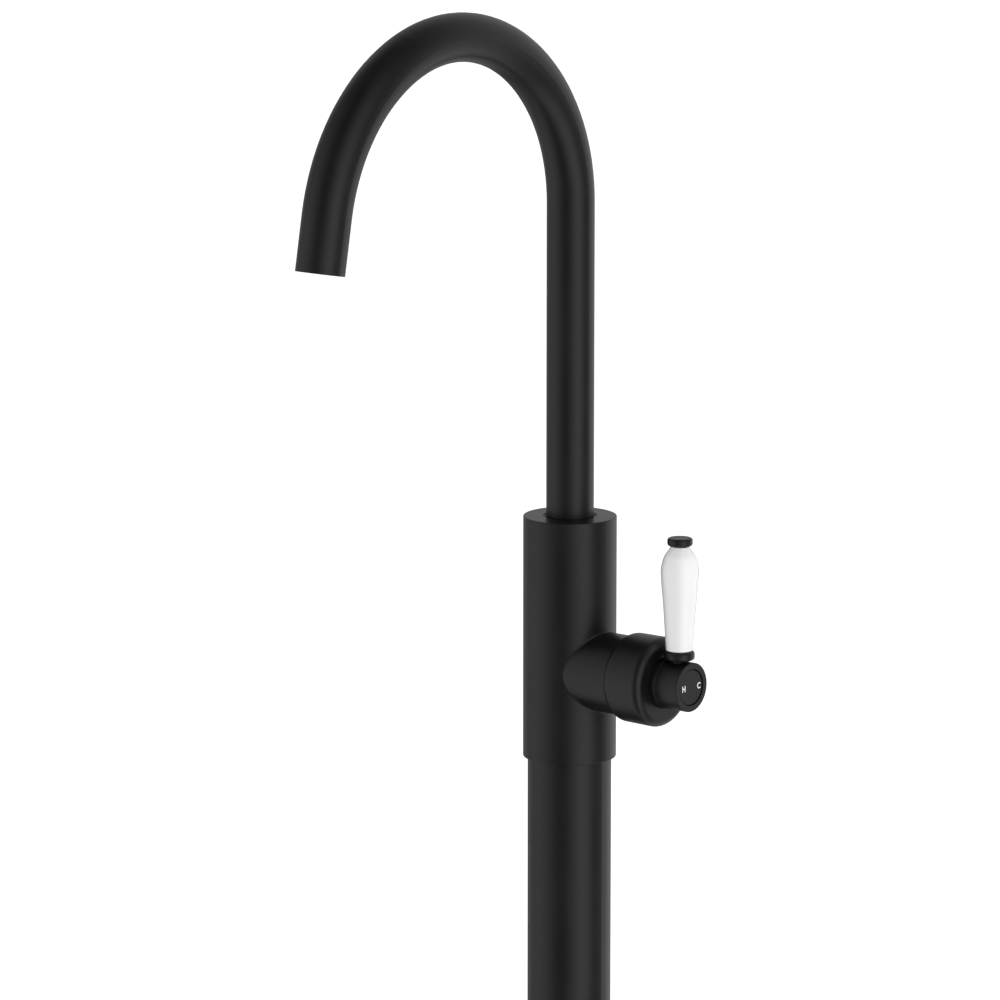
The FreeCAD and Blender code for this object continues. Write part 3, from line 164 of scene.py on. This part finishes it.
# The finish of each of the record's slots: the colour and the roughness where it is darkest and
# smoothest and where it is lightest and roughest, its fine grain in cells per metre, the strength
# and depth of that grain's relief, how far the pattern is drawn out along each axis, and sockets.
FINISHES = {
    "black_coating": {
        "colours": (grey(0.004), grey(0.0055)), "rough": (0.34, 0.37),
        "grain": 1400.0, "relief": 0.06, "depth": 0.02 * MM, "stretch": EVEN, "sockets": COATED,
    },
    "index_black": {
        "colours": (grey(0.004), grey(0.0055)), "rough": (0.33, 0.36),
        "grain": 1600.0, "relief": 0.05, "depth": 0.02 * MM, "stretch": EVEN, "sockets": COATED,
    },
    "letter_white": {
        "colours": (grey(0.80), grey(0.88)), "rough": (0.45, 0.55),
        "grain": 2000.0, "relief": 0.05, "depth": 0.01 * MM, "stretch": EVEN, "sockets": PLAIN,
    },
    "porcelain": {
        "colours": (grey(0.84), grey(0.88)), "rough": (0.10, 0.13),
        "grain": 60.0, "relief": 0.03, "depth": 0.2 * MM, "stretch": EVEN, "sockets": GLAZED,
    },
    "ceramic": {
        "colours": (grey(0.62), grey(0.70)), "rough": (0.12, 0.18),
        "grain": 1500.0, "relief": 0.04, "depth": 0.01 * MM, "stretch": EVEN, "sockets": PLAIN,
    },
    "brass": {
        "colours": ((0.62, 0.42, 0.16), (0.72, 0.51, 0.21)), "rough": (0.28, 0.36),
        "grain": 900.0, "relief": 0.1, "depth": 0.02 * MM, "stretch": EVEN, "sockets": METAL,
    },
    "steel": {
        "colours": (grey(0.46), grey(0.56)), "rough": (0.26, 0.34),
        "grain": 1200.0, "relief": 0.1, "depth": 0.02 * MM, "stretch": (1.0, 1.0, 0.08), "sockets": METAL,
    },
    "white_plastic": {
        "colours": (grey(0.70), grey(0.76)), "rough": (0.38, 0.46),
        "grain": 1200.0, "relief": 0.1, "depth": 0.02 * MM, "stretch": EVEN, "sockets": PLAIN,
    },
    "black_plastic": {
        "colours": (grey(0.018), grey(0.026)), "rough": (0.42, 0.52),
        "grain": 1200.0, "relief": 0.15, "depth": 0.03 * MM, "stretch": EVEN, "sockets": PLAIN,
    },
    "black_rubber": {
        "colours": (grey(0.014), grey(0.020)), "rough": (0.62, 0.72),
        "grain": 1500.0, "relief": 0.2, "depth": 0.03 * MM, "stretch": EVEN, "sockets": PLAIN,
    },
    "hose_braid": {
        "colours": (grey(0.30), grey(0.52)), "rough": (0.30, 0.42),
        "grain": 2400.0, "relief": 0.6, "depth": 0.2 * MM, "stretch": (1.0, 1.0, 0.5), "sockets": METAL,
    },
}


def noise(tree, scale, stretch):
    """Noise in the object's own space, with cells about 1/scale metres across."""
    place = tree.nodes.new("ShaderNodeTexCoord")
    mapping = tree.nodes.new("ShaderNodeMapping")
    mapping.inputs["Scale"].default_value = stretch
    texture = tree.nodes.new("ShaderNodeTexNoise")
    texture.inputs["Scale"].default_value = scale
    texture.inputs["Detail"].default_value = NOISE_DETAIL
    tree.links.new(place.outputs["Object"], mapping.inputs["Vector"])
    tree.links.new(mapping.outputs["Vector"], texture.inputs["Vector"])
    return texture.outputs["Fac"]


def tint(tree, value, colours):
    """Noise turned into a colour between two colours."""
    node = tree.nodes.new("ShaderNodeValToRGB")
    for element, position, colour in zip(node.color_ramp.elements, (NOISE_LOW, NOISE_HIGH), colours):
        element.position = position
        element.color = (*colour, 1.0)
    tree.links.new(value, node.inputs["Fac"])
    return node.outputs["Color"]


def bump(tree, height, strength, distance):
    """The normal of a relief from a height."""
    node = tree.nodes.new("ShaderNodeBump")
    node.inputs["Strength"].default_value = strength
    node.inputs["Distance"].default_value = distance
    tree.links.new(height, node.inputs["Height"])
    return node.outputs["Normal"]


def make_finish(slot, colours, rough, grain, relief, depth, stretch, sockets):
    """A material whose colour and roughness vary a little in clouds, with a fine relief."""
    material = bpy.data.materials.new(slot + "_look")
    tree, surface = empty_tree(material, "ShaderNodeOutputMaterial")
    shader = tree.nodes.new("ShaderNodeBsdfPrincipled")
    tree.links.new(shader.outputs["BSDF"], surface)
    for name, value in sockets.items():
        shader.inputs[name].default_value = value
    clouds = noise(tree, grain / GRAINS_PER_CLOUD, stretch)
    fine = noise(tree, grain, stretch)
    tree.links.new(tint(tree, clouds, colours), shader.inputs["Base Color"])
    tree.links.new(mapped(tree, clouds, NOISE_LOW, NOISE_HIGH, *rough), shader.inputs["Roughness"])
    tree.links.new(bump(tree, fine, relief, depth), shader.inputs["Normal"])
    return material


def dress_nodes():
    """Give every CAD node the finish of its own slot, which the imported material's name gives."""
    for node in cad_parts.values():
        slots = node.data.materials
        for index, packed in enumerate(slots):
            slots[index] = MATERIALS[packed.name]


MATERIALS = {slot: make_finish(slot, **values) for slot, values in FINISHES.items()}
dress_nodes()


# ---------------------------------------------------------------- turned pieces
def round_ring(radius, angle):
    """A circle's radius, the same at every angle."""
    return radius


def hexagon_ring(flat, angle):
    """Distance to a hexagon's side at an angle, from half its width across flats."""
    side = math.pi / 3
    return flat / math.cos((angle + side / 2) % side - side / 2)


def turned_piece(name, outline, node, slot, body, place, closed=False, count=96, crease=35.0):
    """A piece turned about its own +Z from rings of (form, size, height), set at a place, that
    stands for a CAD node. A closed outline runs back to its first ring, an open one is capped."""
    form = bmesh.new()
    angles = [math.tau * step / count for step in range(count)]
    rings = []
    for reach, size, height in outline:
        ring = []
        for angle in angles:
            radius = reach(size, angle)
            ring.append(form.verts.new((radius * math.cos(angle), radius * math.sin(angle), height)))
        rings.append(ring)
    pairs = list(zip(rings, rings[1:]))
    if closed:
        pairs.append((rings[-1], rings[0]))
    else:
        form.faces.new(rings[0])
        form.faces.new(rings[-1])
    for lower, upper in pairs:
        for step in range(count):
            after = (step + 1) % count
            form.faces.new((lower[step], lower[after], upper[after], upper[step]))
    bmesh.ops.recalc_face_normals(form, faces=form.faces)
    mesh = bpy.data.meshes.new(name)
    form.to_mesh(mesh)
    form.free()
    mesh.shade_smooth()
    mesh.set_sharp_from_angle(angle=math.radians(crease))
    mesh.transform(place)
    mesh.materials.append(MATERIALS[slot])
    piece = bpy.data.objects.new(name, mesh)
    bpy.context.scene.collection.objects.link(piece)
    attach(piece, body)
    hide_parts(node)


def smooth_line(points, steps):
    """Points on a Catmull-Rom curve through the given ones. Each is half the weighted sum of the
    two given points before it and the two after it."""
    padded = [points[0], *points, points[-1]]
    line = []
    for corners in zip(padded, padded[1:], padded[2:], padded[3:]):
        for step in range(steps):
            t = step / steps
            weights = (-t + 2 * t**2 - t**3, 2 - 5 * t**2 + 3 * t**3, t + 4 * t**2 - 3 * t**3, t**3 - t**2)
            line.append([sum(weight * corner[axis] for weight, corner in zip(weights, corners)) / 2
                         for axis in (0, 1)])
    return line + [points[-1]]


def make_grip():
    """The porcelain grip, as one smooth glazed form with a softly rounded foot and a bore."""
    low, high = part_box("porcelain_grip")
    length = high[2] - low[2]
    foot, foot_radius = (value * MM for value in GRIP_LINE[0])
    outline = [(round_ring, GRIP_BORE, 0.0), (round_ring, foot_radius - GRIP_EDGE_WIDTH, 0.0)]
    *sides, head = smooth_line(GRIP_LINE, GRIP_LINE_STEPS)
    for height, radius in sides:
        outline.append((round_ring, radius * MM, max(height * MM - foot, GRIP_EDGE_HEIGHT)))
    outline.append((round_ring, head[1] * MM, length))
    outline.append((round_ring, GRIP_BORE, length))
    place = Matrix.Translation(((low[0] + high[0]) / 2, (low[1] + high[1]) / 2, low[2]))
    turned_piece("porcelain_grip_form", outline, "porcelain_grip", "porcelain", "handle", place,
                 closed=True)


def make_set_screw(node, body, turn, length_axis, key_flat):
    """A set screw in place of its plain bar, with the hexagon hole for its key at the outer end.
    The turn points its own +Z outwards."""
    low, high = (Vector(corner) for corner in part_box(node))
    size = high - low
    length = size[length_axis]
    radius = min(size) / 2
    key_depth = min(length * KEY_SHARE, KEY_DEPTH)
    outline = [
        (round_ring, radius - SCREW_CHAMFER, 0.0),
        (round_ring, radius, SCREW_CHAMFER),
        (round_ring, radius, length - SCREW_CHAMFER),
        (round_ring, radius - SCREW_CHAMFER, length),
        (hexagon_ring, key_flat, length),
        (hexagon_ring, key_flat, length - key_depth),
    ]
    middle = Matrix.Translation((low + high) / 2)
    place = middle @ turn @ Matrix.Translation((0.0, 0.0, -length / 2))
    turned_piece(node + "_form", outline, node, "steel", body, place, count=48)


def make_screws():
    """The two set screws whose key holes show: at the column's back and under the hub."""
    to_back = Matrix.Rotation(-math.pi / 2, 4, "X")
    to_floor = Matrix.Rotation(math.pi, 4, "X")
    make_set_screw("column_lock_screw", "stand", to_back, length_axis=1, key_flat=1.25 * MM)
    make_set_screw("hub_set_screw", "handle", to_floor, length_axis=2, key_flat=1.0 * MM)


make_grip()
make_screws()


# ---------------------------------------------------------------- set, lights and camera
def levels(tree, position, stops, span):
    """Grey levels along a position from 0 to 1, from stops in degrees either side of its middle."""
    node = tree.nodes.new("ShaderNodeValToRGB")
    elements = node.color_ramp.elements
    while len(elements) < len(stops):
        elements.new(0.5)
    for index, (angle, level) in enumerate(stops.items()):
        elements[index].position = angle / span + 0.5
        elements[index].color = (*grey(level / RAMP_TOP), 1.0)
    tree.links.new(position, node.inputs["Fac"])
    return node.outputs["Color"]


def studio_walls(tree, direction):
    """Level of the studio's walls in a direction, by its azimuth and its elevation. Half a turn
    is added to the azimuth, so that the camera's own is the ramp's middle."""
    parts = tree.nodes.new("ShaderNodeSeparateXYZ")
    tree.links.new(direction, parts.inputs["Vector"])
    azimuth = calculated(tree, "ARCTAN2", parts.outputs["Y"], parts.outputs["X"])
    turns = calculated(tree, "MULTIPLY", azimuth, 1.0 / math.tau)
    camera_turns = (CAMERA_AZIMUTH - math.pi / 2) / math.tau
    around = calculated(tree, "FRACT", calculated(tree, "ADD", turns, 1.5 - camera_turns))
    half_turns = calculated(tree, "MULTIPLY", calculated(tree, "ARCSINE", parts.outputs["Z"]), 1.0 / math.pi)
    rise = calculated(tree, "ADD", half_turns, 0.5)
    by_azimuth = levels(tree, around, STUDIO_ROUND, 360.0)
    by_elevation = levels(tree, rise, STUDIO_RISE, 180.0)
    share = calculated(tree, "MULTIPLY", by_azimuth, by_elevation)
    return calculated(tree, "MULTIPLY", share, RAMP_TOP * RAMP_TOP)


def studio_panel(tree, direction):
    """Level of the panel high behind the object, in a direction."""
    across = math.cos(BACK_PANEL["rise"])
    facing = tree.nodes.new("ShaderNodeVectorMath")
    facing.operation = "DOT_PRODUCT"
    facing.inputs[1].default_value = (-math.sin(CAMERA_AZIMUTH) * across, math.cos(CAMERA_AZIMUTH) * across,
                                      math.sin(BACK_PANEL["rise"]))
    tree.links.new(direction, facing.inputs[0])
    return mapped(tree, facing.outputs["Value"], BACK_PANEL["outer"], BACK_PANEL["inner"],
                  0.0, BACK_PANEL["level"], "SMOOTHSTEP")


def make_world():
    """White behind the object, and a soft studio all round it for light and reflections."""
    world = bpy.data.worlds.new("studio")
    bpy.context.scene.world = world
    tree, surface = empty_tree(world, "ShaderNodeOutputWorld")
    direction = tree.nodes.new("ShaderNodeTexCoord").outputs["Generated"]
    level = calculated(tree, "ADD", studio_walls(tree, direction), studio_panel(tree, direction))
    studio = tree.nodes.new("ShaderNodeBackground")
    studio.inputs["Color"].default_value = (*grey(STUDIO_GREY), 1.0)
    tree.links.new(level, studio.inputs["Strength"])
    backdrop = tree.nodes.new("ShaderNodeBackground")
    backdrop.inputs["Color"].default_value = (*grey(1.0), 1.0)
    ray = tree.nodes.new("ShaderNodeLightPath")
    seen = calculated(tree, "MAXIMUM", ray.outputs["Is Camera Ray"], ray.outputs["Is Transmission Ray"])
    tree.links.new(mixed(tree, seen, studio.outputs["Background"], backdrop.outputs["Background"]), surface)


def make_floor_material():
    """White that is lit by the lamps, and for the camera also glows more and more with the distance
    from the object. Glossy rays pass through it to the studio."""
    material = bpy.data.materials.new("floor_white")
    tree, surface = empty_tree(material, "ShaderNodeOutputMaterial")
    lit = tree.nodes.new("ShaderNodeBsdfDiffuse")
    lit.inputs["Color"].default_value = (*grey(FLOOR_GREY), 1.0)
    place = tree.nodes.new("ShaderNodeTexCoord")
    distance = tree.nodes.new("ShaderNodeVectorMath")
    distance.operation = "LENGTH"
    tree.links.new(place.outputs["Object"], distance.inputs[0])
    glow = mapped(tree, distance.outputs["Value"], FLOOR_GLOW["start"], FLOOR_GLOW["end"],
                  FLOOR_GLOW["near"], FLOOR_GLOW["far"], "SMOOTHSTEP")
    own = tree.nodes.new("ShaderNodeEmission")
    tree.links.new(glow, own.inputs["Strength"])
    both = tree.nodes.new("ShaderNodeAddShader")
    tree.links.new(lit.outputs["BSDF"], both.inputs[0])
    tree.links.new(own.outputs["Emission"], both.inputs[1])
    clear = tree.nodes.new("ShaderNodeBsdfTransparent")
    ray = tree.nodes.new("ShaderNodeLightPath")
    seen = mixed(tree, ray.outputs["Is Camera Ray"], lit.outputs["BSDF"], both.outputs["Shader"])
    tree.links.new(mixed(tree, ray.outputs["Is Glossy Ray"], seen, clear.outputs["BSDF"]), surface)
    return material


def make_floor():
    """A round white floor that fades into the backdrop and keeps the object's soft shadow."""
    mesh = bpy.data.meshes.new("floor")
    form = bmesh.new()
    bmesh.ops.create_circle(form, cap_ends=True, segments=96, radius=FLOOR_RADIUS)
    form.to_mesh(mesh)
    form.free()
    mesh.materials.append(make_floor_material())
    floor = bpy.data.objects.new("floor", mesh)
    bpy.context.scene.collection.objects.link(floor)
    floor.location.z = -FLOOR_DROP


def beside_camera(side, distance, height):
    """A place round the column's axis, from an azimuth to the camera's right in degrees."""
    azimuth = CAMERA_AZIMUTH + math.radians(side)
    return Vector((distance * math.sin(azimuth), -distance * math.cos(azimuth), height))


def make_lamp(name, side, distance, height, size, power):
    """A soft box that lights the white parts and the floor, and isn't seen in the coating."""
    light = bpy.data.lights.new(name, "AREA")
    light.shape = "DISK"
    light.size = size
    light.energy = power
    lamp = bpy.data.objects.new(name, light)
    bpy.context.scene.collection.objects.link(lamp)
    lamp.location = beside_camera(side, distance, height)
    lamp.rotation_euler = (LAMP_TARGET - lamp.location).to_track_quat("-Z", "Y").to_euler()
    lamp.visible_glossy = False


def make_camera():
    """The photograph's camera."""
    camera = bpy.data.cameras.new("camera")
    camera.lens = CAMERA_LENS
    camera.sensor_width = CAMERA_SENSOR
    camera.clip_end = CAMERA_RANGE
    view = bpy.data.objects.new("camera", camera)
    bpy.context.scene.collection.objects.link(view)
    view.location = beside_camera(0.0, CAMERA_DISTANCE, CAMERA_HEIGHT)
    view.rotation_euler = (math.pi / 2 - CAMERA_DIP, 0.0, CAMERA_AZIMUTH + CAMERA_YAW)
    bpy.context.scene.camera = view


make_world()
make_floor()
for lamp_name, settings in LAMPS.items():
    make_lamp(lamp_name, **settings)
make_camera()

bpy.context.scene.view_settings.view_transform = "Standard"
